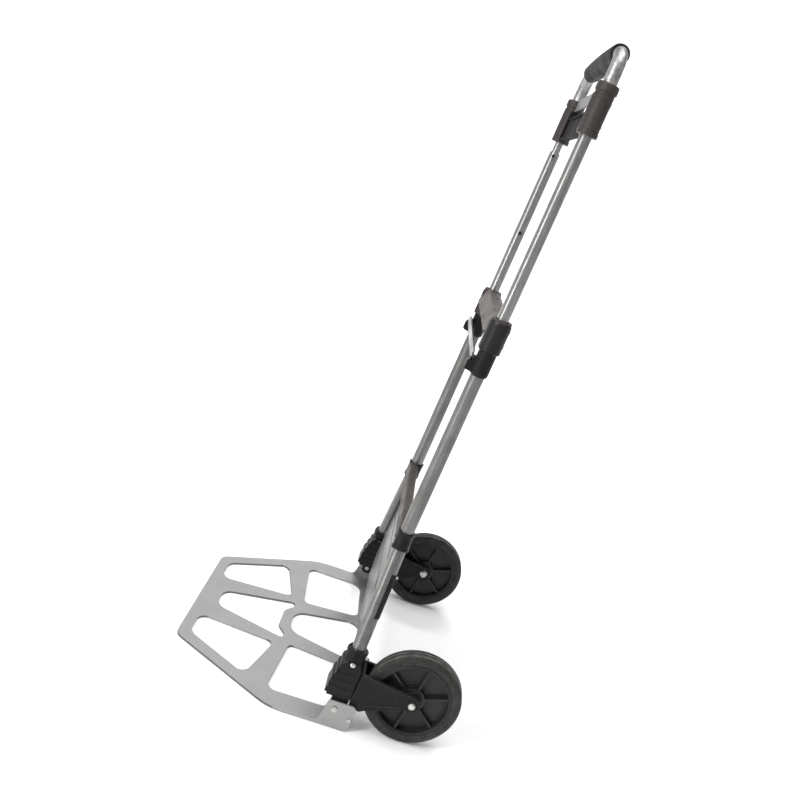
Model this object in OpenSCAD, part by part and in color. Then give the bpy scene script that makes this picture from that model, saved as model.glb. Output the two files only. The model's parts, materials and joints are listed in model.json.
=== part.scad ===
// Folding hand truck: telescoping handle, swing-in wheels and a fold-up toe plate.
// Millimetres. X is across the truck, -Y is the toe side, +Y the wheel side, Z is up.
// The origin is on the floor, in the middle of the footprint.

/* [Overall] */
// Length of the footprint, toe edge to the back of the wheels
footprint_len = 497; // [480:1:540]
// Distance of the wheel axles behind the rails, at floor level
wheel_reach = 120; // [117:1:130]
// Backward lean of the rails in degrees
rail_lean = 2.9; // [1:0.1:5]

/* [Rails] */
// Distance between the straight rails, centre to centre
rail_spacing = 322; // [300:1:345]
// Distance between the rails at the base rivets
base_spacing = 445; // [425:1:455]
// Outside diameter of the lower rails
rail_d = 24; // [22:0.5:26]
// Wall thickness of the lower rails
rail_wall = 1.3; // [1:0.1:1.6]
// Outside diameter of the sliding tubes
slider_d = 20; // [17:0.5:20]
// Wall thickness of the sliding tubes
slider_wall = 1.5; // [1:0.1:2]
// Height of the bend where the rails spread
bend_height = 322; // [300:1:360]
// Height of the base rivets
rivet_height = 117; // [112:1:122]
// Height of the top of the lower rails
rail_top = 718; // [660:1:760]

/* [Handle] */
// Height of the middle of the hand grip
grip_height = 1158; // [1130:1:1200]
// Diameter of the handle loop tube
loop_d = 22; // [20:0.5:24]
// Radius of the loop's corners
loop_radius = 36; // [32:1:60]
// Diameter of the hand grip
grip_d = 31; // [28:0.5:36]
// Length of the coupling sleeves below the loop
sleeve_len = 66; // [50:1:80]
// Diameter of the coupling sleeves
sleeve_d = 31; // [29:0.5:36]
// How far the handle telescopes down
handle_travel = 300; // [200:5:310]

/* [Wheels] */
// Diameter of the wheels
wheel_d = 165; // [150:1:170]
// Width of the tyres
tyre_w = 26; // [20:1:28]
// Radial thickness of the tyres
tyre_t = 16; // [12:1:20]
// Distance between the wheels, centre to centre
wheel_track = 438; // [430:1:446]
// Diameter of the axle bolts
axle_d = 8; // [6:0.5:10]

/* [Toe plate] */
// Width of the toe plate at its back
toe_w = 492; // [486:1:500]
// Width of the toe plate at its front edge
toe_front_w = 280; // [250:1:330]
// Thickness of the toe plate
toe_t = 4; // [3:0.5:5]
// Height of the side ears
ear_h = 49; // [46:1:52]
// Height of the hinge above the floor
hinge_h = 35; // [32:1:37]

/* [Fits] */
// Radial running clearance of pins and axles
pin_gap = 0.05; // [0.02:0.01:0.1]
// Clearance between still parts
still_gap = 0.12; // [0.1:0.01:0.2]
// Clearance between moving parts
move_gap = 0.4; // [0.3:0.05:0.6]

/* [Hidden] */
$fn = 48;
eps = 0.02;

// Places along the footprint
toe_front_y = -footprint_len / 2;
wheel_y = footprint_len / 2 - wheel_d / 2;
rail_foot_y = wheel_y - wheel_reach;
wheel_r = wheel_d / 2;

// The rail plane leans back: v is behind the rails, w is along them.
function v_of(y, z) = (y - rail_foot_y) * cos(rail_lean) - z * sin(rail_lean);
function w_of(y, z) = (y - rail_foot_y) * sin(rail_lean) + z * cos(rail_lean);

// Spread of the rails below the bend
spread_x = (base_spacing - rail_spacing) / 2;
spread = atan(spread_x / (bend_height - rivet_height));
rail_foot = rivet_height - 14;
brace_high = bend_height + 11;
elbow_r = rail_d / 2 + 2.3;
function rail_x(w) = rail_spacing / 2 + (bend_height - w) * tan(spread);

// Brackets, forks and hinges
bracket_in = wheel_track / 2 - 19;
bracket_out = wheel_track / 2 + 21;
parting_v = 19;
fork_gap = tyre_w + 8;
arm_t = 4.5;
arm_out = wheel_track / 2 + fork_gap / 2 + arm_t;
arm_in = wheel_track / 2 - fork_gap / 2 - arm_t;
swing_x = wheel_track / 2 - 24;
swing_v = parting_v + 1;
swing_pin_d = 6;
barrel_low = 60;
barrel_high = 96;
axle_v = v_of(wheel_y, wheel_r);
axle_w = w_of(wheel_y, wheel_r);
toe_pin_d = 8;
toe_hinge_y = rail_foot_y + 2.5;
hinge_v = v_of(toe_hinge_y, hinge_h);
hinge_w = w_of(toe_hinge_y, hinge_h);
ear_t = 3;
ear_x = toe_w / 2 - ear_t;

// Mid joint
mid_low = rail_top - 50;
mid_bar_low = rail_top - 26;
mid_top = rail_top + 4;
mid_r = rail_d / 2 + 5;
cover_t = 1.7;
skirt_r = mid_r - 1.2;
pin_w = rail_top - 24;
lock_d = 6;
lock_len = 26;
lock_travel = 4;
release_travel = 6;
collar_r = skirt_r - move_gap;
collar_low = rail_top - 95;
collar_high = mid_low - 1;
bar_h = 14;
bar_low = collar_low + 22;
bar_end = rail_spacing / 2 - 3;
slider_foot = pin_w - 20;
pin_tip = rail_spacing / 2 - slider_d / 2 - 0.3;
spring_x = pin_tip - lock_len - 2.1;
spring_len = 13;
spring_turns = 4;

// Handle end
sleeve_low = grip_height - 131;
sleeve_high = sleeve_low + sleeve_len;
ring_h = 14;
ring_d = sleeve_d + 4;
slider_end = sleeve_low + 30;
leg_foot = sleeve_low + 32;
stub_len = 20;
spigot_d = 15;

// ---------- helpers ----------

module lean() {
  translate([0, rail_foot_y, 0])
    rotate([-rail_lean, 0, 0])
      children();
}

module side(s) {
  if (s < 0) mirror([1, 0, 0]) children();
  else children();
}

module both() {
  children();
  mirror([1, 0, 0]) children();
}

// A cylinder along X from x0 to x1
module x_rod(d, x0, x1) {
  translate([x0, 0, 0]) rotate([0, 90, 0]) cylinder(d = d, h = x1 - x0);
}

// A profile drawn as [v, w] points, thick from x0 to x1
module x_slab(x0, x1) {
  translate([x0, 0, 0]) rotate([90, 0, 90]) linear_extrude(x1 - x0) children();
}

// Outline with rounded corners: points are [x, y, radius]
function unit(p) = p / norm(p);
function corner(a, b, c, r) =
  let (u = unit([a.x - b.x, a.y - b.y]), t = unit([c.x - b.x, c.y - b.y]),
       half = acos(max(-1, min(1, u * t))) / 2, back = r / tan(half),
       m = unit(u + t), mid = [b.x, b.y] + m * r / sin(half),
       p0 = [b.x, b.y] + u * back, p1 = [b.x, b.y] + t * back,
       a0 = atan2(p0.y - mid.y, p0.x - mid.x), a1 = atan2(p1.y - mid.y, p1.x - mid.x),
       turn = a1 - a0 > 180 ? a1 - a0 - 360 : (a1 - a0 < -180 ? a1 - a0 + 360 : a1 - a0),
       n = max(2, ceil(abs(turn) / 12)))
  [for (i = [0:n]) mid + r * [cos(a0 + turn * i / n), sin(a0 + turn * i / n)]];
function rounded(pts) = [for (i = [0:len(pts) - 1])
  let (b = pts[i], a = pts[(i + len(pts) - 1) % len(pts)], c = pts[(i + 1) % len(pts)])
    each (b[2] > 0 ? corner(a, b, c, b[2]) : [[b.x, b.y]])];
function mirrored(pts) = [for (i = [len(pts) - 1:-1:0]) [-pts[i].x, pts[i].y, pts[i][2]]];

// A rail as a solid rod, straight above the bend and spread below it
module rail_rod(d, top, foot) {
  translate([rail_spacing / 2, 0, bend_height]) {
    cylinder(d = d, h = top - bend_height);
    sphere(d = d);
    rotate([0, 180 - spread, 0]) cylinder(d = d, h = (bend_height - foot) / cos(spread));
  }
}

// ---------- frame ----------

module rail(s) color("silver") lean() side(s) difference() {
  rail_rod(rail_d, rail_top, rail_foot);
  rail_rod(rail_d - 2 * rail_wall, rail_top + 1, rail_foot - 1);
  translate([0, 0, pin_w])
    x_rod(lock_d + 0.4, rail_spacing / 2 - rail_d, rail_spacing / 2);
}

module collar_tube(r, low, high) {
  translate([rail_spacing / 2, 0, low]) cylinder(r = r, h = high - low);
}

// Elbow sleeve round the bend: an upper ring, and a lower ring in line with the spread rail
module lower_collar(s) color("dimgray") lean() side(s) difference() {
  union() {
    collar_tube(elbow_r, bend_height, brace_high);
    collar_tube(elbow_r + 0.9, brace_high - 4, brace_high);
    translate([rail_spacing / 2, 0, bend_height]) {
      sphere(r = elbow_r);
      rotate([0, 180 - spread, 0]) cylinder(r = elbow_r, h = 22);
      rotate([0, 180 - spread, 0]) translate([0, 0, 17]) cylinder(r = elbow_r + 0.9, h = 5);
    }
  }
  rail_rod(rail_d + 2 * still_gap, rail_top, rail_foot);
}

// Channel profile of the lower brace, open at the bottom
bar_profile = rounded([[-15.5, bend_height - 10, 1], [-12.5, brace_high, 4],
  [4, brace_high, 4], [4, bend_height, 1], [1.5, bend_height, 1],
  [1.5, brace_high - 2.5, 2], [-10, brace_high - 2.5, 2], [-13, bend_height - 10, 1]]);

module lower_crossbar() color("rosybrown") lean() difference() {
  union() {
    x_slab(-rail_spacing / 2 + 8, rail_spacing / 2 - 8) polygon(bar_profile);
    for (x = [-100, 0, 100])
      x_slab(x - 1.2, x + 1.2)
        polygon([[-14, bend_height - 6], [-11.5, brace_high - 2], [2, brace_high - 2]]);
  }
  both() {
    collar_tube(elbow_r + 0.9 + still_gap, bend_height, bend_height + 40);
    translate([rail_spacing / 2, 0, bend_height]) sphere(r = elbow_r + 0.9 + still_gap);
    translate([rail_spacing / 2, 0, bend_height]) rotate([0, 180 - spread, 0])
      cylinder(r = elbow_r + 0.9 + still_gap, h = 40);
  }
}

// Channel profile of the upper beam, open at the bottom
mid_profile = rounded([[-21, mid_bar_low, 1], [-11, mid_top, 4], [14, mid_top, 4],
  [14, mid_bar_low, 1], [11.5, mid_bar_low, 1], [11.5, mid_top - 3, 2],
  [-9, mid_top - 3, 2], [-18, mid_bar_low, 1]]);

// Hollow grip beam with a socket ring round each rail
module mid_crossbar() color("rosybrown") lean() difference() {
  union() {
    x_slab(-rail_spacing / 2 + 3.7, rail_spacing / 2 - 3.7) polygon(mid_profile);
    both() {
      collar_tube(mid_r, mid_bar_low - 6, mid_top);
      translate([rail_spacing / 2 - mid_r - 12, -7, pin_w - 6]) cube([14, 14, mid_top - pin_w + 4]);
      translate([spring_x - spring_len - 2, -7, pin_w - 6]) cube([2, 14, mid_top - pin_w + 4]);
    }
    both() intersection() {
      difference() {
        collar_tube(mid_r, mid_low, mid_bar_low);
        collar_tube(skirt_r, mid_low - 1, mid_bar_low - 6);
      }
      translate([rail_spacing / 2 - 30, -30, mid_low - 1]) cube([28, 60, 60]);
    }
  }
  both() {
    collar_tube(rail_d / 2 + still_gap, mid_low - 10, rail_top);
    collar_tube(rail_d / 2 + 0.2, rail_top - 1, mid_top + 1);
    translate([0, 0, pin_w]) x_rod(lock_d + 2 * pin_gap, rail_spacing / 2 - mid_r - 14, rail_spacing / 2);
  }
  for (x = [-60, 60])
    translate([x, 2, mid_top - 6]) cylinder(d = 9, h = 8);
}

// Half shell on the outer side of each mid joint
module housing_cover(s) color("dimgray") lean() side(s) difference() {
  translate([rail_spacing / 2, 0, mid_low - 1])
    rotate(-100) rotate_extrude(angle = 200)
      polygon([[mid_r + still_gap, 0], [mid_r + cover_t, 1.5], [mid_r + cover_t, mid_top - mid_low - 6],
        [mid_r + still_gap, mid_top - mid_low - 2]]);
  for (w = [mid_low + 14, mid_top - 14])
    translate([rail_spacing / 2, 0, w]) rotate(90) x_rod(4.2, 0, 30);
}

module guide_bushes() color("black") lean() both()
  translate([rail_spacing / 2, 0, 0]) {
    translate([0, 0, rail_top - 26]) difference() {
      cylinder(d = rail_d - 2 * rail_wall - 2 * still_gap, h = 26 + 2);
      translate([0, 0, -1]) cylinder(d = slider_d + 2 * pin_gap, h = 40);
      translate([0, 0, pin_w - rail_top + 26]) x_rod(lock_d + 0.4, -20, 0);
    }
  }

// Trapezoid sheet between the spread rails, with two folded side flanges
panel_low = 62;
panel_high = bend_height - 28;
panel_foot_x = bracket_in - 3.2;
function panel_x(w) = rail_x(w) - rail_d / 2 / cos(spread) - 0.5;
panel_side = [[bracket_in - 34, panel_low, 10], [panel_foot_x, panel_low + 36, 10],
  [panel_foot_x, rivet_height + 20, 3], [panel_x(rivet_height + 30), rivet_height + 30, 3],
  [panel_x(panel_high), panel_high, 4]];
module back_panel() color("gainsboro") lean()
  translate([0, 6, 0]) rotate([90, 0, 0]) linear_extrude(1.5)
    polygon(rounded(concat(panel_side, mirrored(panel_side))));

// ---------- base brackets ----------

// Stepped tiers round the bracket: [bottom, top, how far the front stands out]
tiers = [[56, 71.5, -27], [74, 85.5, -26], [88, 98.5, -23], [101, 111, -20]];
tier_proud = 0.8;
// Plain front of the bracket behind the tiers
bracket_front = [[-16, 114], [-17.5, 100], [-20, 86], [-22, 70], [-22, 53]];
module bracket_body() {
  x_slab(bracket_in, bracket_out)
    polygon(concat(bracket_front, [[6, 53], [9, 45], [parting_v - 1, 44], [parting_v - 1, 108],
      [12, 120], [-10, 121]]));
}

module base_bracket(s) color("dimgray") lean() side(s) difference() {
  union() {
    difference() {
      bracket_body();
      translate([bracket_in + 4, -30, 30]) cube([6, 60, 60]);
    }
    intersection() {
      rail_rod(rail_d + 10, rail_top, rail_foot - 20);
      translate([150, -40, 88]) cube([bracket_out - 150, 80, 46]);
    }
    translate([rail_x(130), 0, 130]) rotate([0, -spread, 0]) cylinder(d = rail_d + 12.5, h = 5);
    for (t = tiers) x_slab(bracket_in - 1.5, bracket_out + tier_proud)
      polygon(rounded([[t[2], t[0] + 1.5, 1.5], [14, t[0], 0], [14, t[1], 0], [t[2] + 2, t[1], 1.5]]));
    // lugs of the swing hinge
    for (w = [[barrel_low - 12, barrel_low - move_gap], [barrel_high + move_gap, barrel_high + 10]])
      translate([swing_x, swing_v, w[0]]) {
        cylinder(r = 8, h = w[1] - w[0]);
        translate([0, -14, 0]) cube([12, 12, w[1] - w[0]]);
      }
    // lug of the toe hinge
    x_slab(bracket_out - 12, bracket_out)
      polygon(rounded([[-10, 56, 0], [-10, 24, 9], [12, 24, 9], [12, 56, 0]]));
  }
  rail_rod(rail_d + 2 * still_gap, rail_top, rail_foot - 0.5);
  translate([swing_x, swing_v, 0]) cylinder(d = swing_pin_d + 2 * pin_gap, h = 200);
  translate([swing_x, swing_v, barrel_low - move_gap])
    cylinder(r = 9, h = barrel_high - barrel_low + 2 * move_gap);
  translate([0, hinge_v, hinge_w]) x_rod(toe_pin_d + 2 * pin_gap, bracket_out - 20, bracket_out + 1);
  translate([rail_x(rivet_height), 0, rivet_height]) x_rod(5.2, -40, 40);
}

module bracket_rivets() color("silver") lean() both()
  translate([rail_x(rivet_height), 0, rivet_height]) {
    x_rod(5, -17, 17);
    for (m = [0, 1]) mirror([m, 0, 0]) translate([17, 0, 0]) rotate([0, 90, 0])
      intersection() {
        cylinder(d = 9, h = 3);
        translate([0, 0, -4]) sphere(r = 6.5);
      }
  }

module toe_hinge_pins() color("silver") lean() both() translate([0, hinge_v, hinge_w]) {
  x_rod(toe_pin_d, bracket_out - 13, ear_x + ear_t + 0.5);
  x_rod(10, ear_x + ear_t + 0.4, ear_x + ear_t + 2);
}

module fork_hinge_pins() color("silver") lean() both() translate([swing_x, swing_v, 0]) {
  translate([0, 0, barrel_low - 14]) cylinder(d = swing_pin_d, h = barrel_high - barrel_low + 26);
  translate([0, 0, barrel_high + 10 + eps]) cylinder(d = 10, h = 2);
}

// Thin wear strips on the back outer side of the spread rails
module edge_strips() color("black") lean() both()
  translate([rail_x(262), 0, 262]) rotate([0, 180 - spread, 0])
    rotate(92) rotate_extrude(angle = 72)
      translate([rail_d / 2 + still_gap, 0]) square([0.9, 76]);

// Pan-head screws at the back of the covers
module frame_screws() color("silver") lean() both()
  for (w = [mid_low + 14, mid_top - 14]) translate([rail_spacing / 2, 0, w]) rotate(90) {
    x_rod(4, mid_r + eps, mid_r + cover_t + 0.2);
    x_rod(7, mid_r + cover_t + 0.1, mid_r + cover_t + 0.8);
  }

// ---------- release slide ----------

module release_collar(s) color("dimgray") lean() side(s) difference() {
  union() {
    translate([rail_spacing / 2, 0, collar_low]) rotate_extrude()
      polygon(rounded([[0, 0, 0], [collar_r, 0, 7], [collar_r, collar_high - collar_low, 1],
        [0, collar_high - collar_low, 0]]));
    x_slab(rail_spacing / 2 - 8, rail_spacing / 2 + 8)
      polygon(rounded([[-8, collar_low + 4, 0], [-26, collar_low + 6, 4], [-26, collar_low + 22, 3],
        [-18, collar_low + 30, 3], [-8, collar_low + 30, 0]]));
  }
  collar_tube(rail_d / 2 + move_gap, collar_low - 1, mid_low + 20);
  x_slab(rail_spacing / 2 - 12, rail_spacing / 2 + 12)
    translate([-22 - still_gap, bar_low - still_gap]) square([3 + 2 * still_gap, 40]);
}

module release_bar() color("silver") lean()
  translate([0, -22, bar_low]) rotate([90, 0, 0]) mirror([0, 0, 1]) linear_extrude(3)
    polygon(rounded([[-bar_end, 0, 4], [bar_end, 0, 4], [bar_end, bar_h, 6], [-bar_end, bar_h, 6]]));

module release_rivets() color("silver") lean() both()
  translate([bar_end - 4, -22 - eps, bar_low + bar_h - 4.5])
    rotate([90, 0, 0]) cylinder(d = 4, h = 1.4);

module lock_pin(s) color("silver") lean() side(s) translate([0, 0, pin_w]) {
  x_rod(lock_d, pin_tip - lock_len, pin_tip);
  x_rod(lock_d + 3, pin_tip - lock_len - 2, pin_tip - lock_len);
}

// A coil spring along X: wire rings carried round a helix
function coil(x0, len, r, wire, turns, rings, n) = [for (i = [0:rings], k = [0:n - 1])
  let (a = 360 * turns * i / rings, q = r + wire * cos(360 * k / n))
    [x0 + len * i / rings + wire * sin(360 * k / n), q * cos(a), q * sin(a)]];
function coil_faces(rings, n) = concat(
  [for (i = [0:rings - 1], k = [0:n - 1]) let (a = i * n + k, b = i * n + (k + 1) % n) [a, b, b + n, a + n]],
  [[for (k = [n - 1:-1:0]) k], [for (k = [0:n - 1]) rings * n + k]]);
module lock_springs() color("silver") lean() both() translate([0, 0, pin_w])
  polyhedron(coil(spring_x - spring_len + 0.7, spring_len - lock_travel - 1.6, 3.6, 0.6, spring_turns, 48, 6),
    coil_faces(48, 6));

// ---------- telescoping handle ----------

module slider(s) color("silver") lean() side(s) difference() {
  translate([rail_spacing / 2, 0, slider_foot])
    cylinder(d = slider_d, h = (s < 0 ? sleeve_low - stub_len : slider_end) - slider_foot);
  translate([rail_spacing / 2, 0, slider_foot - 1]) cylinder(d = slider_d - 2 * slider_wall, h = grip_height);
  for (k = [0, 0.5, 1]) translate([0, 0, pin_w + k * handle_travel])
    x_rod(lock_d + 0.6, rail_spacing / 2 - slider_d, rail_spacing / 2);
  if (s < 0) translate([rail_spacing / 2, 0, sleeve_low - stub_len - 7])
    rotate([0, 0, -170]) x_rod(6.2, 0, 20);
}

module slider_spigot() color("silver") lean() side(-1) difference() {
  translate([rail_spacing / 2, 0, sleeve_low - stub_len - 45]) cylinder(d = spigot_d, h = stub_len + 45 + 30);
  translate([rail_spacing / 2, 0, 0]) cylinder(d = spigot_d - 3, h = grip_height);
  translate([rail_spacing / 2, 0, sleeve_low - stub_len - 7])
    rotate([0, 0, -170]) x_rod(6.2, 0, 20);
}

module snap_button() color("black") lean() side(-1)
  translate([rail_spacing / 2, 0, sleeve_low - stub_len - 7]) rotate([0, 0, -170]) {
    x_rod(6, 1.5, slider_d / 2 - 0.6);
    x_rod(8, 1.5, 4.2);
  }

module slider_glides() color("black") lean() both() translate([rail_spacing / 2, 0, slider_foot]) {
  translate([0, 0, -6]) cylinder(d = rail_d - 2 * rail_wall - 0.6, h = 6 - eps);
  translate([0, 0, -1]) cylinder(d = slider_d - 2 * slider_wall - 2 * still_gap, h = 12);
}

// Window that shows the loop's leg at the top of each sleeve
module sleeve(s) color("dimgray") lean() side(s) difference() {
  translate([rail_spacing / 2, 0, 0]) {
    translate([0, 0, sleeve_low]) cylinder(d = sleeve_d, h = sleeve_len);
    translate([0, 0, sleeve_low]) cylinder(d = sleeve_d + 2.4, h = 7);
    translate([-1.5, -sleeve_d / 2 - 1, sleeve_low + 7]) cube([3, 4, sleeve_len - 12]);
  }
  translate([rail_spacing / 2, 0, sleeve_low - 1])
    cylinder(d = (s < 0 ? spigot_d : slider_d) + 2 * still_gap, h = sleeve_len);
  translate([rail_spacing / 2, 0, leg_foot - 0.5]) cylinder(d = loop_d + 2 * still_gap, h = sleeve_len);
}

module sleeve_ring(s) color("dimgray") lean() side(s) difference() {
  translate([rail_spacing / 2, 0, sleeve_high]) rotate_extrude() polygon(rounded([
    [loop_d / 2 + still_gap, 0, 0], [ring_d / 2, 0, 2], [ring_d / 2, ring_h, 3],
    [loop_d / 2 + still_gap, ring_h, 0]]));
  translate([rail_spacing / 2 - 3, ring_d / 2 - 2, sleeve_high - 1]) cube([6, 4, 5]);
}

// Moulded web between the sleeves: deep at the sleeves, lower in the middle, with a raised rim
web_end = rail_spacing / 2 - sleeve_d / 2 - 1.5;
web_low = sleeve_low + 4;
web_mid = sleeve_low + 42;
web_high = sleeve_high - 8;
web_ledge = 14;
web_rim = 2.4;
web_side = [[web_end, web_low, 0], [web_end, web_high, 0], [web_end - web_ledge, web_high, 3],
  [web_end - web_ledge - 20, web_mid, 10]];
web_inner = [[web_end - web_rim, web_low + web_rim, 0], [web_end - web_rim, web_high - web_rim, 0],
  [web_end - web_ledge + 0.5, web_high - web_rim, 1], [web_end - web_ledge - 19, web_mid - web_rim, 12]];
module handle_web() color("dimgray") lean() rotate([90, 0, 0]) {
  linear_extrude(4, center = true) polygon(rounded(concat(web_side, mirrored(web_side))));
  linear_extrude(12, center = true) difference() {
    polygon(rounded(concat(web_side, mirrored(web_side))));
    polygon(rounded(concat(web_inner, mirrored(web_inner))));
  }
}

// Aluminium plate that stands on the web's ledges, between the legs of the loop
plate_end = rail_spacing / 2 - ring_d / 2 - 0.2;
plate_top = sleeve_high + 14;
module handle_plate() color("silver") lean()
  translate([0, 1.5, 0]) rotate([90, 0, 0]) linear_extrude(3)
    polygon(rounded([[-plate_end, web_high + eps, 3], [plate_end, web_high + eps, 3],
      [plate_end, plate_top, 5], [-plate_end, plate_top, 5]]));

module handle_screws() color("silver") lean() both()
  for (w = [sleeve_low + 18, sleeve_high - 14]) translate([rail_spacing / 2, 0, w])
    rotate([-90, 0, 0]) translate([0, 0, sleeve_d / 2 + eps]) cylinder(d = 5.5, h = 0.7);

module loop_rod(d) {
  both() {
    translate([rail_spacing / 2, 0, leg_foot]) cylinder(d = d, h = grip_height - loop_radius - leg_foot);
    translate([rail_spacing / 2 - loop_radius, 0, grip_height - loop_radius])
      rotate([90, 0, 0]) rotate_extrude(angle = 90) translate([loop_radius, 0]) circle(d = d);
  }
  translate([0, 0, grip_height]) x_rod(d, -rail_spacing / 2 + loop_radius, rail_spacing / 2 - loop_radius);
}

module handle_loop() color("white") lean() difference() {
  loop_rod(loop_d);
  loop_rod(loop_d - 3);
  both() translate([rail_spacing / 2, 0, leg_foot - 1]) cylinder(d = loop_d - 3, h = 20);
}

module hand_grip() color("black") lean()
  translate([0, 0, grip_height]) rotate([0, 90, 0]) rotate_extrude()
    polygon(rounded([[loop_d / 2 + still_gap, -rail_spacing / 2 + loop_radius, 0],
      [grip_d / 2, -rail_spacing / 2 + loop_radius, 3],
      [grip_d / 2, rail_spacing / 2 - loop_radius, 3],
      [loop_d / 2 + still_gap, rail_spacing / 2 - loop_radius, 0]]));

// ---------- toe plate ----------

toe_back_y = rail_foot_y + 36;
toe_lip = 9;
toe_side_x = toe_w / 2;
// The hole pattern is drawn on a plate this long, and stretches with the real one
pattern_len = 330.5;
function toe_y(y) = toe_front_y + y * (toe_back_y - toe_front_y) / pattern_len;
toe_outline_half = [[toe_front_w / 2, toe_front_y, 22], [toe_side_x, toe_y(193), 90],
  [toe_side_x, toe_back_y - toe_lip, 2]];

front_side_hole = [[67, toe_y(20), 18], [125, toe_y(20), 24], [185, toe_y(128), 12],
  [174, toe_y(140), 8], [80, toe_y(165), 12]];
back_side_hole = [[72, toe_y(192), 12], [206, toe_y(179), 16], [206, toe_y(297), 24], [84, toe_y(305), 16]];
front_mid_hole = [[26, toe_y(38), 24], [62, toe_y(177), 7], [46, toe_y(177), 9], [26, toe_y(161), 24]];
back_mid_hole = [[32, toe_y(182), 30], [66, toe_y(316), 26]];

module toe_holes() {
  for (h = [front_side_hole, back_side_hole]) {
    polygon(rounded(h));
    polygon(rounded(mirrored(h)));
  }
  polygon(rounded(concat(front_mid_hole, mirrored(front_mid_hole))));
  polygon(rounded(concat(back_mid_hole, mirrored(back_mid_hole))));
}

ear_outline = rounded([[rail_foot_y - 20, toe_t, 10], [rail_foot_y - 10, ear_h, 5],
  [toe_back_y + 2, ear_h, 8], [toe_back_y - 1, 0, 13], [rail_foot_y - 24, 0, 0],
  [rail_foot_y - 24, toe_t, 0]]);

module toe_plate() color("gainsboro") difference() {
  union() {
    linear_extrude(toe_t) difference() {
      polygon(rounded(concat(toe_outline_half, mirrored(toe_outline_half))));
      toe_holes();
    }
    both() x_slab(ear_x, ear_x + ear_t) polygon(ear_outline);
  }
  translate([0, toe_hinge_y, hinge_h]) x_rod(toe_pin_d + 2 * pin_gap, -300, 300);
}

module ear_rivets() color("silver") both()
  translate([ear_x + ear_t + eps, toe_back_y - 5, 23]) rotate([0, 90, 0]) cylinder(d = 6.5, h = 1.6);

// ---------- forks and wheels ----------

root_v = parting_v + 1.5;
arm_outline = rounded([[root_v, 108, 2], [root_v + 24, 107, 12], [axle_v + 2, axle_w + 13, 10],
  [axle_v + 14, axle_w + 12, 11], [axle_v + 14, axle_w - 12, 11], [axle_v - 6, axle_w - 14, 8],
  [root_v + 27, 47, 7], [root_v + 20, 42, 4], [root_v, 43, 2]]);
// Raised lip along the arm's upper edge, and a moulded line above its lower edge
lip_outline = rounded([[root_v + 4, 107, 0], [root_v + 24, 106, 12], [axle_v + 1, axle_w + 12, 1],
  [axle_v, axle_w + 9.5, 1], [root_v + 24, 102.5, 12], [root_v + 4, 103.5, 0]]);
line_foot = [root_v + 25, 56];
line_end = [axle_v - 16, axle_w - 14];
line_outline = [line_foot, line_end, line_end + [0, 2], line_foot + [0, 2.2]];
// The rivet sits under the moulded line, this share of the way along it
fork_rivet_share = 0.383;
fork_rivet_drop = 6.64;
fork_rivet_at = line_foot + fork_rivet_share * (line_end - line_foot) - [0, fork_rivet_drop];

module fork(s) color("dimgray") lean() side(s) difference() {
  union() {
    x_slab(arm_in, arm_in + arm_t) polygon(arm_outline);
    x_slab(arm_out - arm_t, arm_out) polygon(arm_outline);
    for (x = [arm_out - 1, arm_in - 1.4]) {
      x_slab(x, x + 2.4) polygon(lip_outline);
      x_slab(x, x + 2.2) polygon(line_outline);
    }
    translate([arm_in, root_v, 46]) cube([arm_out - arm_in, 4.5, 60]);
    translate([swing_x, swing_v, barrel_low]) cylinder(r = 7, h = barrel_high - barrel_low);
    translate([swing_x, root_v, barrel_low]) cube([8, 4.5, barrel_high - barrel_low]);
  }
  translate([swing_x, swing_v, 0]) cylinder(d = swing_pin_d + 2 * pin_gap, h = 200);
  for (w = [[40, barrel_low], [barrel_high, 120]])
    translate([swing_x, swing_v, w[0]]) cylinder(r = 9, h = w[1] - w[0]);
  translate([0, axle_v, axle_w]) x_rod(axle_d + 2 * still_gap, arm_in - 1, arm_out + 1);
}

module axle(s) color("silver") lean() side(s) translate([0, axle_v, axle_w]) {
  x_rod(axle_d, arm_in - 7, arm_out + 0.5);
  x_rod(12, arm_out + eps, arm_out + 5);
  x_rod(10, arm_out + 5, arm_out + 6.2);
}

module axle_nut(s) color("silver") lean() side(s) difference() {
  translate([0, axle_v, axle_w]) {
    x_rod(15, arm_in - 1.2, arm_in - eps);
    translate([arm_in - 6.5, 0, 0]) rotate([0, 90, 0]) cylinder(d = 13, h = 5.4, $fn = 6);
  }
  translate([0, axle_v, axle_w]) x_rod(axle_d + 2 * still_gap, 0, 400);
}

module fork_rivets(s) color("silver") lean() side(s)
  translate([arm_in - 1.6, fork_rivet_at[0], fork_rivet_at[1]]) x_rod(7, 0, 1.6 - eps);

hub_r = 21;
bush_d = 14;
web_t = 5;
module rim(s) color("dimgray") side(s)
translate([wheel_track / 2, wheel_y, wheel_r]) rotate([0, 90, 0]) difference() {
  union() {
    rotate_extrude($fn = 96) polygon([
      [wheel_r - tyre_t - 6, -tyre_w / 2 + 1], [wheel_r - tyre_t, -tyre_w / 2 + 1],
      [wheel_r - tyre_t, tyre_w / 2 - 1], [wheel_r - tyre_t - 6, tyre_w / 2 - 1]]);
    cylinder(r = wheel_r - tyre_t - 4, h = web_t, center = true);
    cylinder(r = hub_r, h = tyre_w - 6, center = true);
    cylinder(r = 16.5, h = tyre_w - 3, center = true);
    cylinder(r = 12, h = tyre_w + 2, center = true);
    for (a = [0:60:300]) rotate(a - 10) translate([hub_r - 3, -2, -tyre_w / 2 + 3])
      cube([wheel_r - tyre_t - hub_r, 4, tyre_w - 6]);
  }
  cylinder(d = bush_d + 2 * still_gap, h = 60, center = true);
}

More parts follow.
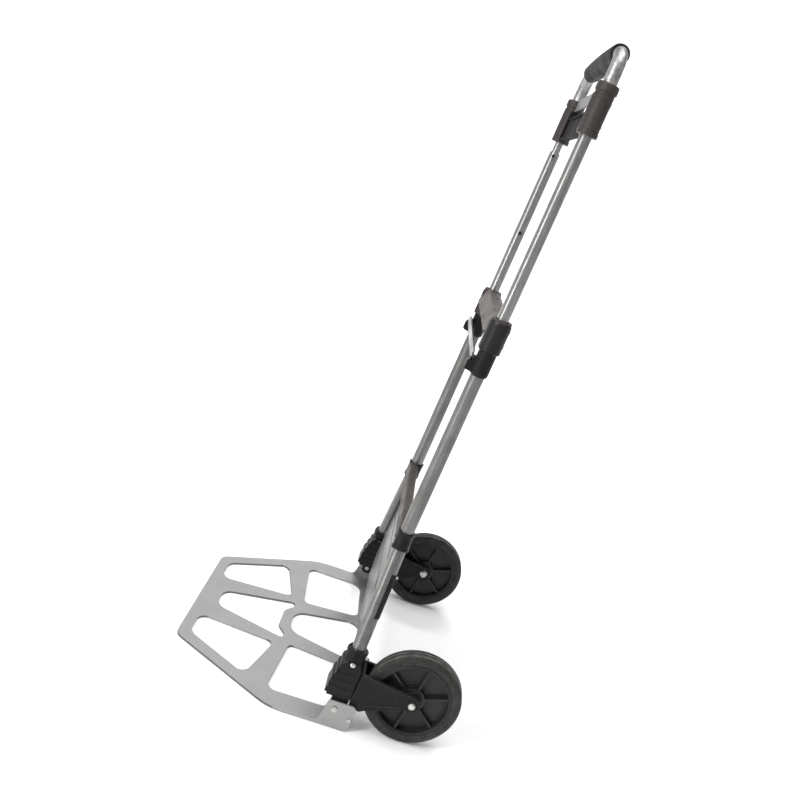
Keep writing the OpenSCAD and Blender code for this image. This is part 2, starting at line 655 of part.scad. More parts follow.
// Tread profile as [radius, width, corner radius], with two shallow grooves
function groove(g) = [[wheel_r, g - 1.3, 0], [wheel_r - 1.4, g - 0.7, 0],
  [wheel_r - 1.4, g + 0.7, 0], [wheel_r, g + 1.3, 0]];
module tyre(s) color("black") side(s) translate([wheel_track / 2, wheel_y, wheel_r]) rotate([0, 90, 0])
  rotate_extrude($fn = 96) polygon(rounded(concat(
    [[wheel_r - tyre_t + still_gap, tyre_w / 2 - 1, 0], [wheel_r - tyre_t + still_gap, -tyre_w / 2 + 1, 0],
      [wheel_r - 9, -tyre_w / 2, 2], [wheel_r, -tyre_w / 2 + 4, 4]],
    groove(-tyre_w / 7), groove(tyre_w / 7),
    [[wheel_r, tyre_w / 2 - 4, 4], [wheel_r - 9, tyre_w / 2, 2]])));

module bushes(s) color("black") side(s) translate([wheel_track / 2, wheel_y, wheel_r]) rotate([0, 90, 0])
  for (m = [0, 1]) mirror([0, 0, m]) difference() {
    union() {
      cylinder(d = bush_d, h = tyre_w / 2 + 1);
      translate([0, 0, tyre_w / 2 + 1 + eps]) cylinder(d = bush_d + 4, h = 2);
    }
    translate([0, 0, -1]) cylinder(d = axle_d + 2 * pin_gap, h = 40);
    translate([0, 0, -1]) cylinder(d = 30, h = 5);
  }

// ---------- drawing ----------

rail(-1);  // rail_left
rail(1);  // rail_right
lower_crossbar();
lower_collar(-1);  // lower_collar_left
lower_collar(1);  // lower_collar_right
mid_crossbar();
housing_cover(-1);  // housing_cover_left
housing_cover(1);  // housing_cover_right
guide_bushes();
back_panel();
base_bracket(-1);  // base_bracket_left
base_bracket(1);  // base_bracket_right
bracket_rivets();
edge_strips();
toe_hinge_pins();
fork_hinge_pins();
frame_screws();
release_collar(-1);  // release_collar_left
release_collar(1);  // release_collar_right
release_bar();
release_rivets();
lock_pin(-1);  // lock_pin_left
lock_pin(1);  // lock_pin_right
lock_springs();
slider(-1);  // slider_left
slider(1);  // slider_right
slider_spigot();
snap_button();
slider_glides();
sleeve(-1);  // sleeve_left
sleeve(1);  // sleeve_right
sleeve_ring(-1);  // sleeve_ring_left
sleeve_ring(1);  // sleeve_ring_right
handle_web();
handle_plate();
handle_screws();
handle_loop();
hand_grip();
toe_plate();
ear_rivets();
fork(-1);  // fork_left
fork(1);  // fork_right
axle(-1);  // axle_left
axle(1);  // axle_right
axle_nut(-1);  // axle_nut_left
axle_nut(1);  // axle_nut_right
fork_rivets(-1);  // fork_rivets_left
fork_rivets(1);  // fork_rivets_right
rim(-1);  // rim_left
rim(1);  // rim_right
tyre(-1);  // tyre_left
tyre(1);  // tyre_right
bushes(-1);  // bushes_left
bushes(1);  // bushes_right
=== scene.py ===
import json
import math
import bmesh
import bpy
from mathutils import Matrix, Vector


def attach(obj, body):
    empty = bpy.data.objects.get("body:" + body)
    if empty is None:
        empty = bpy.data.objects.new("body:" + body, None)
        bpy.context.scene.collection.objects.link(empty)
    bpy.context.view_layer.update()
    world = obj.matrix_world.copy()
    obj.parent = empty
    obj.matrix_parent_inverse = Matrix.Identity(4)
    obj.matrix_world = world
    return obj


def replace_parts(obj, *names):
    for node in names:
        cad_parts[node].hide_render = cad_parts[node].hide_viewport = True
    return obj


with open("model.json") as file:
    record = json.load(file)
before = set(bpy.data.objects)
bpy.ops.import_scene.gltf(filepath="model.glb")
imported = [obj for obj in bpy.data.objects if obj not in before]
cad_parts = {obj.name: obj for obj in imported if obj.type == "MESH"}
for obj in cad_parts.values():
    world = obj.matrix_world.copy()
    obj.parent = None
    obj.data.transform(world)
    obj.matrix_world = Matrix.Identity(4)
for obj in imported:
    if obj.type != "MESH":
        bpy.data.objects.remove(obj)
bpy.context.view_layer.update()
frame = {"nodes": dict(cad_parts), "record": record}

NODES = frame["nodes"]
MM = 0.001

# ---------- sizes shared with the CAD part, in millimetres ----------

LEAN = math.radians(2.9)
RAIL_FOOT_Y = 46.0
RAIL_SPACING = 322.0
BASE_SPACING = 445.0
BEND_W = 322.0
RIVET_W = 117.0
RAIL_D = 24.0
RAIL_TOP = 718.0
GRIP_W = 1158.0
GRIP_D = 31.0
LOOP_R = 36.0
SLEEVE_LOW = GRIP_W - 131.0
SLEEVE_HIGH = SLEEVE_LOW + 66.0
SLEEVE_D = 31.0
WHEEL_D = 165.0
TYRE_W = 26.0
TYRE_T = 16.0
WHEEL_TRACK = 438.0
FOOTPRINT = 497.0
WHEEL_Y = FOOTPRINT / 2 - WHEEL_D / 2
WHEEL_R = WHEEL_D / 2
ARM_T = 4.5
FORK_GAP = TYRE_W + 8
ARM_OUT = WHEEL_TRACK / 2 + FORK_GAP / 2 + ARM_T
BRACKET_OUT = WHEEL_TRACK / 2 + 21
MID_R = RAIL_D / 2 + 5
MID_LOW = RAIL_TOP - 50
MID_TOP = RAIL_TOP + 4
COVER_T = 1.7
COVER_R = MID_R + COVER_T
COLLAR_LOW = RAIL_TOP - 95
PANEL_LOW = 62.0
PANEL_HIGH = BEND_W - 28
PANEL_FACES = ((4.5, -1), (6.0, 1))


def leaned(x, v, w):
    """A point of the leaning rail plane: x across, v behind the rails, w along them."""
    return Vector((x, RAIL_FOOT_Y + v * math.cos(LEAN) + w * math.sin(LEAN),
                   w * math.cos(LEAN) - v * math.sin(LEAN))) * MM


def spread_x(w):
    """How far the centre line of a rail's spread part is from the middle, at a height w."""
    return RAIL_SPACING / 2 + (BEND_W - w) * (BASE_SPACING - RAIL_SPACING) / 2 / (BEND_W - RIVET_W)


# ---------- materials ----------


class Finish:
    """A procedural material: object coordinates feed colour, roughness and bump."""

    def __init__(self, name, metallic=0.0, specular=0.5):
        self.material = bpy.data.materials.new(name)
        self.material.use_nodes = True
        self.tree = self.material.node_tree
        self.tree.nodes.clear()
        self.out = self.add("ShaderNodeOutputMaterial")
        self.shader = self.add("ShaderNodeBsdfPrincipled")
        self.link(self.shader.outputs[0], self.out.inputs[0])
        self.shader.inputs["Metallic"].default_value = metallic
        self.shader.inputs["Specular IOR Level"].default_value = specular
        self.coords = self.add("ShaderNodeTexCoord").outputs["Object"]
        self.normal = None

    def soften(self, radius):
        """Rounds the light on sharp edges."""
        bevel = self.add("ShaderNodeBevel", samples=4)
        bevel.inputs["Radius"].default_value = radius
        self.normal = bevel.outputs[0]

    def add(self, kind, **values):
        node = self.tree.nodes.new(kind)
        for key, value in values.items():
            setattr(node, key, value)
        return node

    def link(self, a, b):
        self.tree.links.new(a, b)

    def stretched(self, scale, turn=(0, 0, 0)):
        node = self.add("ShaderNodeMapping")
        node.inputs["Scale"].default_value = scale
        node.inputs["Rotation"].default_value = turn
        self.link(self.coords, node.inputs["Vector"])
        return node.outputs[0]

    def noise(self, scale, detail=4.0, roughness=0.55, where=None):
        node = self.add("ShaderNodeTexNoise")
        node.inputs["Scale"].default_value = scale
        node.inputs["Detail"].default_value = detail
        node.inputs["Roughness"].default_value = roughness
        self.link(where or self.coords, node.inputs["Vector"])
        return node.outputs["Fac"]

    def cells(self, scale):
        node = self.add("ShaderNodeTexVoronoi", feature="F1")
        node.inputs["Scale"].default_value = scale
        self.link(self.coords, node.inputs["Vector"])
        return node.outputs["Distance"]

    def steps(self, value, low, high, a=0.0, b=1.0):
        node = self.add("ShaderNodeMapRange", interpolation_type="SMOOTHSTEP")
        for key, number in (("From Min", low), ("From Max", high), ("To Min", a), ("To Max", b)):
            node.inputs[key].default_value = number
        self.link(value, node.inputs["Value"])
        return node.outputs["Result"]

    def maths(self, kind, a, b):
        node = self.add("ShaderNodeMath", operation=kind)
        for socket, value in zip(node.inputs, (a, b)):
            if isinstance(value, (int, float)):
                socket.default_value = value
            else:
                self.link(value, socket)
        return node.outputs[0]

    def blend(self, factor, a, b):
        node = self.add("ShaderNodeMix", data_type="RGBA")
        self.link(factor, node.inputs["Factor"])
        for key, value in (("A", a), ("B", b)):
            socket = [s for s in node.inputs if s.name == key and s.type == "RGBA"][0]
            if isinstance(value, tuple):
                socket.default_value = (*value, 1)
            else:
                self.link(value, socket)
        return [s for s in node.outputs if s.type == "RGBA"][0]

    def edges(self, radius):
        """1 on sharp outer and inner edges, 0 on flat faces."""
        bevel = self.add("ShaderNodeBevel", samples=6)
        bevel.inputs["Radius"].default_value = radius
        flat = self.add("ShaderNodeNewGeometry").outputs["Normal"]
        dot = self.add("ShaderNodeVectorMath", operation="DOT_PRODUCT")
        self.link(bevel.outputs[0], dot.inputs[0])
        self.link(flat, dot.inputs[1])
        return self.steps(self.maths("SUBTRACT", 1.0, dot.outputs["Value"]), 0.02, 0.25)

    def upright(self):
        """1 on faces that stand up and look forwards or back, 0 on flat and side faces."""
        part = self.add("ShaderNodeSeparateXYZ")
        self.link(self.add("ShaderNodeNewGeometry").outputs["True Normal"], part.inputs[0])
        level = self.steps(self.maths("ABSOLUTE", part.outputs["Z"], 0), 0.3, 0.6, 1.0, 0.0)
        broad = self.steps(self.maths("ABSOLUTE", part.outputs["X"], 0), 0.985, 0.997, 1.0, 0.0)
        return self.maths("MULTIPLY", level, broad)

    def height(self, value, strength, distance):
        node = self.add("ShaderNodeBump")
        node.inputs["Strength"].default_value = strength
        node.inputs["Distance"].default_value = distance
        self.link(value, node.inputs["Height"])
        if self.normal:
            self.link(self.normal, node.inputs["Normal"])
        self.normal = node.outputs[0]

    def done(self, colour, rough):
        self.link(colour, self.shader.inputs["Base Color"])
        self.link(rough, self.shader.inputs["Roughness"])
        if self.normal:
            self.link(self.normal, self.shader.inputs["Normal"])
        return self.material


def drawn_tube(name, dark, light, rough=0.36):
    """Drawn aluminium tube: long fine draw lines, dull patches and a few bright rubs."""
    f = Finish(name, metallic=0.9)
    lines = f.noise(1.0, 6, 0.7, f.stretched((700, 700, 7)))
    dull = f.noise(9, 5, 0.6)
    rubs = f.steps(f.noise(1.0, 3, 0.5, f.stretched((260, 260, 26))), 0.62, 0.72)
    half_lines = f.maths("MULTIPLY", lines, 0.5)
    half_dull = f.maths("MULTIPLY", dull, 0.5)
    shade = f.steps(f.maths("ADD", half_lines, half_dull), 0.38, 0.64)
    colour = f.blend(shade, dark, light)
    rubbed = tuple(min(1, c * 1.45) for c in light)
    colour = f.blend(f.maths("MULTIPLY", rubs, 0.35), colour, rubbed)
    grime = f.steps(f.noise(140, 5, 0.7), 0.6, 0.72)
    colour = f.blend(f.maths("MULTIPLY", grime, 0.3), colour, tuple(c * 0.45 for c in dark))
    f.height(lines, 0.25, 0.00012)
    f.height(f.noise(60, 3), 0.08, 0.0004)
    return f.done(colour, f.steps(dull, 0.3, 0.7, rough + 0.1, rough - 0.06))


def loop_metal():
    """Bright worn aluminium of the handle loop, with a fine hammered glitter."""
    f = Finish("loop_metal", metallic=0.85)
    facets = f.cells(260)
    cloud = f.noise(60, 5, 0.65)
    colour = f.blend(f.steps(cloud, 0.35, 0.65), (0.22, 0.218, 0.215), (0.43, 0.426, 0.42))
    f.height(facets, 0.28, 0.0007)
    f.height(cloud, 0.2, 0.0006)
    return f.done(colour, f.steps(facets, 0.0, 0.8, 0.36, 0.52))


def toe_metal():
    """Satin cast aluminium: even grey, fine grain, slightly brighter worn edges, and painted shade
    darkening its upright side and hole walls.
    """
    f = Finish("toe_metal", metallic=0.75)
    f.soften(0.0009)
    cloud = f.noise(14, 5, 0.6)
    grain = f.noise(480, 4, 0.65)
    scratch = f.steps(f.noise(1.0, 4, 0.6, f.stretched((40, 620, 40), (0, 0, 0.5))), 0.65, 0.72)
    colour = f.blend(f.steps(cloud, 0.3, 0.7), (0.29, 0.29, 0.287), (0.325, 0.325, 0.321))
    colour = f.blend(f.maths("MULTIPLY", f.steps(grain, 0.4, 0.65), 0.35), colour, (0.43, 0.43, 0.426))
    colour = f.blend(f.maths("MULTIPLY", scratch, 0.2), colour, (0.75, 0.75, 0.74))
    colour = f.blend(f.maths("MULTIPLY", f.edges(0.0009), 0.3), colour, (0.62, 0.62, 0.61))
    # Painted shade: the plate's upright side walls and hole walls are darkened to stand in for the
    # shadow on them.
    colour = f.blend(f.maths("MULTIPLY", f.upright(), 0.8), colour, (0.10, 0.10, 0.097))
    f.height(grain, 0.3, 0.0003)
    return f.done(colour, f.steps(cloud, 0.3, 0.7, 0.5, 0.42))


def moulded(name, base, worn, rough=0.5, edge=0.35, specular=0.16):
    """Moulded plastic: fine spark grain, lighter edges, faint dust. The lighter edges are rubbed wear;
    with the forks' strong edge weight and light worn colour they are mostly a painted highlight along
    the arm lips.
    """
    f = Finish(name, specular=specular)
    f.soften(0.0008)
    spark = f.noise(520.0, 3, 0.6)
    patch = f.noise(22, 5, 0.6)
    colour = f.blend(f.steps(patch, 0.3, 0.75), base, tuple(c * 1.3 for c in base))
    dust = f.steps(f.noise(75, 6, 0.7), 0.58, 0.74)
    colour = f.blend(f.maths("MULTIPLY", dust, 0.1), colour, worn)
    # Lighter edges: rubbed wear, and on the fork finish a painted highlight along the arm lips.
    colour = f.blend(f.maths("MULTIPLY", f.edges(0.0008), edge), colour, worn)
    f.height(spark, 0.3, 0.0002)
    f.height(patch, 0.06, 0.0008)
    return f.done(colour, f.steps(patch, 0.3, 0.7, rough + 0.08, rough - 0.06))


def tyre_rubber():
    """Solid rubber: grey-brown worn tread with cross scuffs, dark greenish side walls."""
    f = Finish("tyre_rubber", specular=0.35)
    scuff = f.noise(1.0, 5, 0.65, f.stretched((260, 70, 70)))
    fine = f.noise(600, 3, 0.6)
    facing = f.add("ShaderNodeSeparateXYZ")
    f.link(f.add("ShaderNodeNewGeometry").outputs["Normal"], facing.inputs[0])
    wall = f.steps(f.maths("ABSOLUTE", facing.outputs["X"], 0), 0.55, 0.85)
    tread = f.blend(f.steps(scuff, 0.36, 0.68), (0.030, 0.028, 0.026), (0.090, 0.082, 0.078))
    side = f.blend(f.steps(scuff, 0.36, 0.7), (0.015, 0.016, 0.014), (0.027, 0.028, 0.025))
    colour = f.blend(wall, tread, side)
    colour = f.blend(f.maths("MULTIPLY", f.edges(0.0010), 0.3), colour, (0.10, 0.096, 0.088))
    f.height(fine, 0.35, 0.0003)
    f.height(scuff, 0.2, 0.0006)
    return f.done(colour, f.steps(scuff, 0.3, 0.7, 0.72, 0.52))


def foam_grip():
    """Soft closed-cell foam of the hand grip."""
    f = Finish("foam_grip", specular=0.14)
    pores = f.cells(1100)
    hand = f.noise(30, 4, 0.6)
    colour = f.blend(f.steps(hand, 0.35, 0.7), (0.0095, 0.0085, 0.008), (0.0165, 0.0148, 0.0138))
    # Painted shade: the foam is made darker in its pore pits.
    colour = f.blend(f.steps(pores, 0.0, 0.35), (0.0085, 0.0078, 0.0072), colour)
    f.height(pores, 0.35, 0.0004)
    f.height(hand, 0.15, 0.0010)
    return f.done(colour, f.steps(hand, 0.3, 0.7, 0.7, 0.55))


def plated():
    """Zinc-plated steel of screws, pins and bolts."""
    base = (0.62, 0.62, 0.6)
    f = Finish("zinc_steel", metallic=1.0)
    cloud = f.noise(160, 5, 0.6)
    colour = f.blend(f.steps(cloud, 0.35, 0.65), tuple(c * 0.72 for c in base), base)
    f.height(f.noise(900, 2), 0.15, 0.0002)
    return f.done(colour, f.steps(cloud, 0.3, 0.7, 0.38, 0.24))


FINISHES = {
    "satin_aluminium": drawn_tube("rail_tube", (0.145, 0.144, 0.141), (0.235, 0.233, 0.228)),
    "slider_aluminium": drawn_tube("slider_tube", (0.23, 0.228, 0.224), (0.40, 0.397, 0.39), 0.28),
    "polished_aluminium": loop_metal(),
    "toe_aluminium": toe_metal(),
    "strip_steel": drawn_tube("strip_metal", (0.17, 0.168, 0.163), (0.27, 0.267, 0.26), 0.36),
    "zinc_steel": plated(),
    "brown_plastic": moulded("brown_plastic", (0.046, 0.0385, 0.0355), (0.15, 0.13, 0.12), 0.48),
    "black_plastic": moulded("black_plastic", (0.0070, 0.0082, 0.0078), (0.070, 0.070, 0.066), 0.42),
    "rim_plastic": moulded("rim_plastic", (0.0105, 0.0128, 0.0105), (0.06, 0.065, 0.058), 0.4,
                           specular=0.3),
    "nylon_black": moulded("nylon_black", (0.013, 0.013, 0.013), (0.08, 0.08, 0.08), 0.4),
    "strip_rubber": moulded("strip_rubber", (0.012, 0.012, 0.012), (0.05, 0.05, 0.048), 0.66),
    "tyre_rubber": tyre_rubber(),
    "grip_foam": foam_grip(),
}
SLEEVE_FINISH = moulded("sleeve_plastic", (0.036, 0.0305, 0.0290), (0.12, 0.105, 0.10), 0.46,
                        specular=0.25)
# Strong, light edge blend on the forks: a painted highlight along the arm lips, partly rubbed wear.
FORK_FINISH = moulded("fork_plastic", (0.0070, 0.0082, 0.0078), (0.17, 0.17, 0.165), 0.42, edge=0.5)
WEB_FINISH = moulded("web_plastic", (0.0090, 0.0080, 0.0078), (0.08, 0.075, 0.07), 0.62,
                     specular=0.04)
PLATE_FINISH = drawn_tube("plate_metal", (0.15, 0.149, 0.147), (0.22, 0.219, 0.216), 0.42)
COVER_FINISH = moulded("cover_plastic", (0.0100, 0.0088, 0.0096), (0.10, 0.09, 0.088), 0.40,
                       specular=0.25)
SIDES = (("right", 1), ("left", -1))
SLOTS = {part["node"]: part["material_slot"] for part in frame["record"]["subparts"]}
# Nodes whose finish differs from that of their slot
SPECIAL = {"handle_web": WEB_FINISH, "handle_plate": PLATE_FINISH}
for word, _ in SIDES:
    SPECIAL["housing_cover_" + word] = COVER_FINISH
    SPECIAL["sleeve_" + word] = SLEEVE_FINISH
    SPECIAL["sleeve_ring_" + word] = SLEEVE_FINISH
    SPECIAL["fork_" + word] = FORK_FINISH


def dress_nodes():
    """Puts a finish on every CAD node."""
    for name, node in NODES.items():
        node.data.materials.clear()
        node.data.materials.append(SPECIAL.get(name, FINISHES[SLOTS[name]]))


dress_nodes()

# ---------- mesh helpers ----------

ACROSS = Vector((1, 0, 0))
BEHIND = Vector((0, math.cos(LEAN), -math.sin(LEAN)))
ALONG = Vector((0, math.sin(LEAN), math.cos(LEAN)))


def spin(bm, profile, centre, axis, steps=64, closed=False):
    """Turns a profile of [radius, along] points, in millimetres, about an axis."""
    axis = Vector(axis).normalized()
    side = axis.orthogonal().normalized()
    third = axis.cross(side)
    rings = []
    for radius, along in profile:
        ring = []
        for i in range(steps):
            a = 2 * math.pi * i / steps
            offset = axis * along + (side * math.cos(a) + third * math.sin(a)) * radius
            ring.append(bm.verts.new(centre + offset * MM))
        rings.append(ring)
    pairs = list(zip(rings, rings[1:] + rings[:1])) if closed else list(zip(rings, rings[1:]))
    for a, b in pairs:
        for i in range(steps):
            bm.faces.new((a[i], a[(i + 1) % steps], b[(i + 1) % steps], b[i]))


def hoop(bm, radius, thick, centre, axis, steps=72, sides=10):
    """A round wire bent into a ring."""
    turns = [2 * math.pi * k / sides for k in range(sides)]
    profile = [(radius + thick * math.cos(a), thick * math.sin(a)) for a in turns]
    spin(bm, profile, centre, axis, steps, closed=True)


def bead(bm, points, thick, normal, closed=False, sides=8):
    """A round wire along straight runs; normal is the direction of the face that it lies on."""
    normal = Vector(normal).normalized()
    count = len(points)
    rings = []
    for i, p in enumerate(points):
        before = points[i - 1] if closed or i else p
        after = points[(i + 1) % count] if closed or i < count - 1 else p
        ahead = (after - before).normalized()
        out = ahead.cross(normal)
        rings.append([bm.verts.new(p + (out * math.cos(a) + normal * math.sin(a)) * thick * MM)
                      for a in (2 * math.pi * k / sides for k in range(sides))])
    pairs = list(zip(rings, rings[1:] + rings[:1])) if closed else list(zip(rings, rings[1:]))
    for a, b in pairs:
        for k in range(sides):
            bm.faces.new((a[k], a[(k + 1) % sides], b[(k + 1) % sides], b[k]))
    if not closed:
        bm.faces.new(rings[0])
        bm.faces.new(rings[-1])


def rib(bm, centre, axes, size, soft):
    """A small bar with rounded edges; size is in millimetres along the three axes."""
    turn = Matrix((axes[0], axes[1], axes[2])).transposed().to_4x4()
    scale = Matrix.Diagonal((size[0] * MM, size[1] * MM, size[2] * MM, 1))
    made = bmesh.ops.create_cube(bm, size=1, matrix=Matrix.Translation(centre) @ turn @ scale)
    edges = {e for v in made["verts"] for e in v.link_edges}
    bmesh.ops.bevel(bm, geom=list(edges), offset=soft * MM, segments=2, affect="EDGES", profile=0.5)


def piece(name, body, slot, build):
    """Makes one piece from a function that fills a bmesh, and rides it on a body."""
    bm = bmesh.new()
    build(bm)
    bmesh.ops.recalc_face_normals(bm, faces=bm.faces)
    mesh = bpy.data.meshes.new(name)
    bm.to_mesh(mesh)
    bm.free()
    for face in mesh.polygons:
        face.use_smooth = True
    made = bpy.data.objects.new(name, mesh)
    bpy.context.scene.collection.objects.link(made)
    made.data.materials.append(FINISHES[slot])
    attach(made, body)
    return made


# ---------- wheels ----------


def rim_beads(bm, centre):
    """Rounded beads on both faces of the rim: at its edge, on its web and round the hub."""
    beads = ((WHEEL_R - TYRE_T - 2.4, 1.2, TYRE_W / 2 - 1, 96),
             (27, 0.9, 2.6, 72),
             (14.2, 0.7, TYRE_W / 2 - 1.4, 60))
    for face in (-1, 1):
        for radius, thick, out, steps in beads:
            hoop(bm, radius, thick, centre + ACROSS * face * out * MM, ACROSS, steps)


def wall_rings(bm, centre):
    """Moulded rings on the tyre's side walls."""
    rings = ((WHEEL_R - TYRE_T + 2.2, 0.55, TYRE_W / 2 - 0.75), (WHEEL_R - 7.5, 0.5, TYRE_W / 2 - 0.3))
    for face in (-1, 1):
        for radius, thick, out in rings:
            hoop(bm, radius, thick, centre + ACROSS * face * out * MM, ACROSS, 120)


def axle_cap(bm, centre, side):
    """Domed end of the axle bolt."""
    bolt_end = ARM_OUT + 6.2
    profile = [(5.6, -1.2), (5.6, 0.2), (5.2, 0.7), (4.0, 1.1), (2.0, 1.35), (0.02, 1.4)]
    spin(bm, profile, centre + ACROSS * side * bolt_end * MM, ACROSS * side, 48)


def rivet_rim(bm, side):
    """Pressed ring round the base rivet's head."""
    hoop(bm, 6.2, 0.8, leaned(side * (BRACKET_OUT + 0.1), 0, RIVET_W), ACROSS, 48)


for word, side in SIDES:
    hub = Vector((side * WHEEL_TRACK / 2, WHEEL_Y, WHEEL_R)) * MM
    middle = Vector((0, WHEEL_Y, WHEEL_R)) * MM
    piece("rim_beads_" + word, "wheel_" + word, "rim_plastic", lambda bm: rim_beads(bm, hub))
    piece("wall_rings_" + word, "wheel_" + word, "tyre_rubber", lambda bm: wall_rings(bm, hub))
    piece("axle_cap_" + word, "fork_" + word, "zinc_steel", lambda bm: axle_cap(bm, middle, side))
    piece("rivet_rim_" + word, "frame", "black_plastic", lambda bm: rivet_rim(bm, side))

# ---------- handle ----------


def sleeve_bands(bm):
    """Raised bands round the coupling sleeves."""
    r = SLEEVE_D / 2
    for _, side in SIDES:
        centre = leaned(side * RAIL_SPACING / 2, 0, SLEEVE_LOW)
        for low, high in ((9, 12), (55, 57), (60, 62)):
            profile = [(r - 0.3, low), (r + 0.5, low + 0.4), (r + 0.7, (low + high) / 2),
                       (r + 0.5, high - 0.4), (r - 0.3, high)]
            spin(bm, profile, centre, ALONG, 72)


def foam_sleeve(bm):
    """Soft foam grip: rolled ends, and a slight swell where the palm goes."""
    end = RAIL_SPACING / 2 - LOOP_R
    inner, outer, swell = 11.3, GRIP_D / 2, 1.9
    steps = 20
    profile = [(inner, -end + 0.3), (outer - 2.6, -end + 0.3), (outer - 0.9, -end + 1.0),
               (outer - 0.1, -end + 2.6)]
    for i in range(1, steps):
        t = i / steps
        profile.append((outer + swell * math.sin(math.pi * t) ** 0.8, -end + 2 * end * t))
    profile += [(outer - 0.1, end - 2.6), (outer - 0.9, end - 1.0), (outer - 2.6, end - 0.3),
                (inner, end - 0.3)]
    spin(bm, profile, leaned(0, 0, GRIP_W), ACROSS, 72, closed=True)


def grip_rings(bm):
    """Black end rings where the foam grip meets the loop."""
    for _, side in SIDES:
        centre = leaned(side * (RAIL_SPACING / 2 - LOOP_R), 0, GRIP_W)
        profile = [(11.1, -1.5), (14.9, -1.5), (15.6, -0.6), (15.6, 1.0), (14.6, 2.2), (11.1, 2.2)]
        spin(bm, profile, centre, ACROSS * side, 72, closed=True)


def cross_recesses(bm, places, length):
    """Dark cross slots in the heads of the pan-head screws."""
    for at in places:
        rib(bm, at, (ACROSS, BEHIND, ALONG), (length, 0.3, 1.0), 0.1)
        rib(bm, at, (ACROSS, BEHIND, ALONG), (1.0, 0.3, length), 0.1)


HANDLE_SCREWS = [leaned(side * RAIL_SPACING / 2, SLEEVE_D / 2 + 0.75, w)
                 for _, side in SIDES for w in (SLEEVE_LOW + 18, SLEEVE_HIGH - 14)]
FRAME_SCREWS = [leaned(side * RAIL_SPACING / 2, COVER_R + 0.85, w)
                for _, side in SIDES for w in (MID_LOW + 14, MID_TOP - 14)]
piece("sleeve_bands", "handle", "black_plastic", sleeve_bands).data.materials[0] = SLEEVE_FINISH
piece("grip_rings", "handle", "nylon_black", grip_rings)
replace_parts(piece("foam_sleeve", "handle", "grip_foam", foam_sleeve), "hand_grip")
piece("handle_screw_slots", "handle", "nylon_black", lambda bm: cross_recesses(bm, HANDLE_SCREWS, 3.2))

# ---------- frame ----------


def cover_seams(bm):
    """Rolled edges of the mid joint's half shells."""
    for _, side in SIDES:
        for turn in (-100, 100):
            a = math.radians(turn)
            x = side * (RAIL_SPACING / 2 + COVER_R * math.cos(a))
            v = COVER_R * math.sin(a)
            outward = ACROSS * side * math.cos(a) + BEHIND * math.sin(a)
            bead(bm, [leaned(x, v, MID_LOW + 2), leaned(x, v, MID_TOP - 7)], 0.55, outward)


def panel_beads(bm):
    """Pressed stiffening bead round the back panel, with two cross beads, on both faces."""
    def half(w):
        return min(spread_x(w) - RAIL_D / 2 - 16, BRACKET_OUT - 58)
    thick = 1.3
    low, middle, upper, high = PANEL_LOW + 14, 150, 210, PANEL_HIGH - 12
    for v, face in PANEL_FACES:
        corners = [(-half(low) + 22, low), (half(low) - 22, low), (half(low), low + 22),
                   (half(middle), middle), (half(high), high), (-half(high), high),
                   (-half(middle), middle), (-half(low), low + 22)]
        bead(bm, [leaned(x, v, w) for x, w in corners], thick, BEHIND * face, closed=True)
        for w in (middle, upper):
            bead(bm, [leaned(-half(w) + 12, v, w), leaned(half(w) - 12, v, w)], thick, BEHIND * face)


def release_ridges(bm):
    """Grip ridges on the finger tabs of the release collars."""
    for _, side in SIDES:
        for k in range(4):
            at = leaned(side * RAIL_SPACING / 2, -26, COLLAR_LOW + 8.5 + 3.5 * k)
            rib(bm, at, (ACROSS, BEHIND, ALONG), (13, 1.0, 1.3), 0.35)


piece("cover_seams", "frame", "black_plastic", cover_seams).data.materials[0] = COVER_FINISH
piece("frame_screw_slots", "frame", "nylon_black", lambda bm: cross_recesses(bm, FRAME_SCREWS, 4.2))
piece("panel_beads", "frame", "satin_aluminium", panel_beads)
piece("release_ridges", "release", "black_plastic", release_ridges)

# ---------- camera, light and floor ----------


def set_camera():
    """The photograph's view: a three-quarter side view from hand height."""
    place = Vector((1.392054, -0.061970, 0.911539))
    ahead = Vector((-0.9757146, 0.0806966, -0.2036395))
    right = Vector((0.0040716, 0.9361879, 0.3514763))
    up = Vector((-0.2190077, -0.3421115, 0.9137808))
    data = bpy.data.cameras.new("camera")
    camera = bpy.data.objects.new("camera", data)
    bpy.context.scene.collection.objects.link(camera)
    film, picture = 36, 800
    data.sensor_width = film
    data.lens = film * 798.2474 / picture
    data.shift_x = -62.192 / picture
    data.shift_y = -50.202 / picture
    data.clip_end = 100
    camera.matrix_world = Matrix((
        (right.x, up.x, -ahead.x, place.x), (right.y, up.y, -ahead.y, place.y),
        (right.z, up.z, -ahead.z, place.z), (0, 0, 0, 1)))
    bpy.context.scene.camera = camera


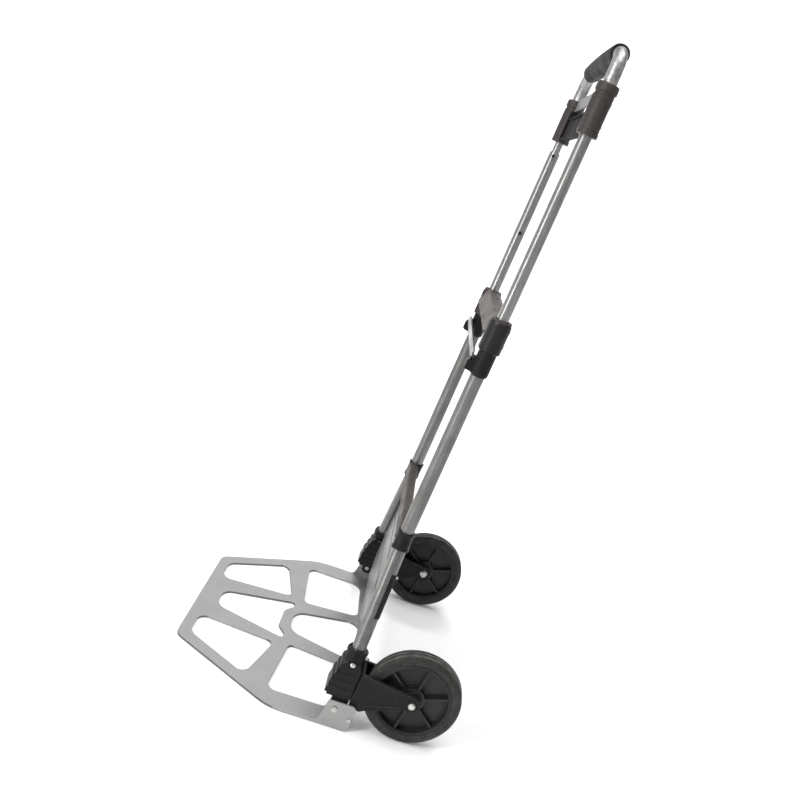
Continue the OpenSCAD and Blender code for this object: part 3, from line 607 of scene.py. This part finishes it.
def area_light(name, place, target, size, power, tall=None):
    data = bpy.data.lights.new(name, "AREA")
    data.shape = "RECTANGLE" if tall else "DISK"
    data.size = size
    if tall:
        data.size_y = tall
    data.energy = power
    light = bpy.data.objects.new(name, data)
    bpy.context.scene.collection.objects.link(light)
    light.location = place
    light.rotation_euler = (Vector(target) - Vector(place)).to_track_quat("-Z", "Y").to_euler()


def set_stage():
    """A plain pale floor that rises into a soft round backdrop, and the lights."""
    drop, flat, curve, steps, top = -0.4, 6000, 3000, 12, 5200
    profile = [(1, drop), (flat, drop)]
    for i in range(1, steps + 1):
        a = math.radians(90 * i / steps)
        profile.append((flat + curve * math.sin(a), curve - curve * math.cos(a) + drop))
    profile.append((flat + curve, top))
    bm = bmesh.new()
    spin(bm, profile, Vector((0, 0, 0)), (0, 0, 1), 96)
    bmesh.ops.contextual_create(bm, geom=[v for v in bm.verts if v.co.xy.length < 0.01])
    bmesh.ops.recalc_face_normals(bm, faces=bm.faces)
    mesh = bpy.data.meshes.new("studio_floor")
    bm.to_mesh(mesh)
    bm.free()
    for face in mesh.polygons:
        face.use_smooth = True
    floor = bpy.data.objects.new("studio_floor", mesh)
    bpy.context.scene.collection.objects.link(floor)
    f = Finish("studio_paper", specular=0.1)
    grain = f.noise(30, 3)
    colour = f.blend(grain, (0.90, 0.90, 0.897), (0.92, 0.92, 0.917))
    floor.data.materials.append(f.done(colour, f.steps(grain, 0, 1, 0.9, 0.95)))
    world = bpy.data.worlds.new("studio")
    world.use_nodes = True
    back = world.node_tree.nodes["Background"]
    back.inputs["Color"].default_value = (1, 1, 1, 1)
    back.inputs["Strength"].default_value = 0.30
    bpy.context.scene.world = world
    bpy.context.scene.view_settings.view_transform = "Standard"
    area_light("key", (2.2, -2.6, 2.9), (0, 0, 0.5), 1.0, 95)
    area_light("overhead", (0.2, 0.2, 4.4), (0, 0, 0), 3.0, 130)
    area_light("strip", (1.9, -2.2, 1.0), (0, 0.05, 0.7), 0.35, 26, tall=2.0)
    area_light("backdrop", (-3.0, 0, 5.0), (-8.0, 0, 0.6), 3.0, 420)


set_camera()
set_stage()
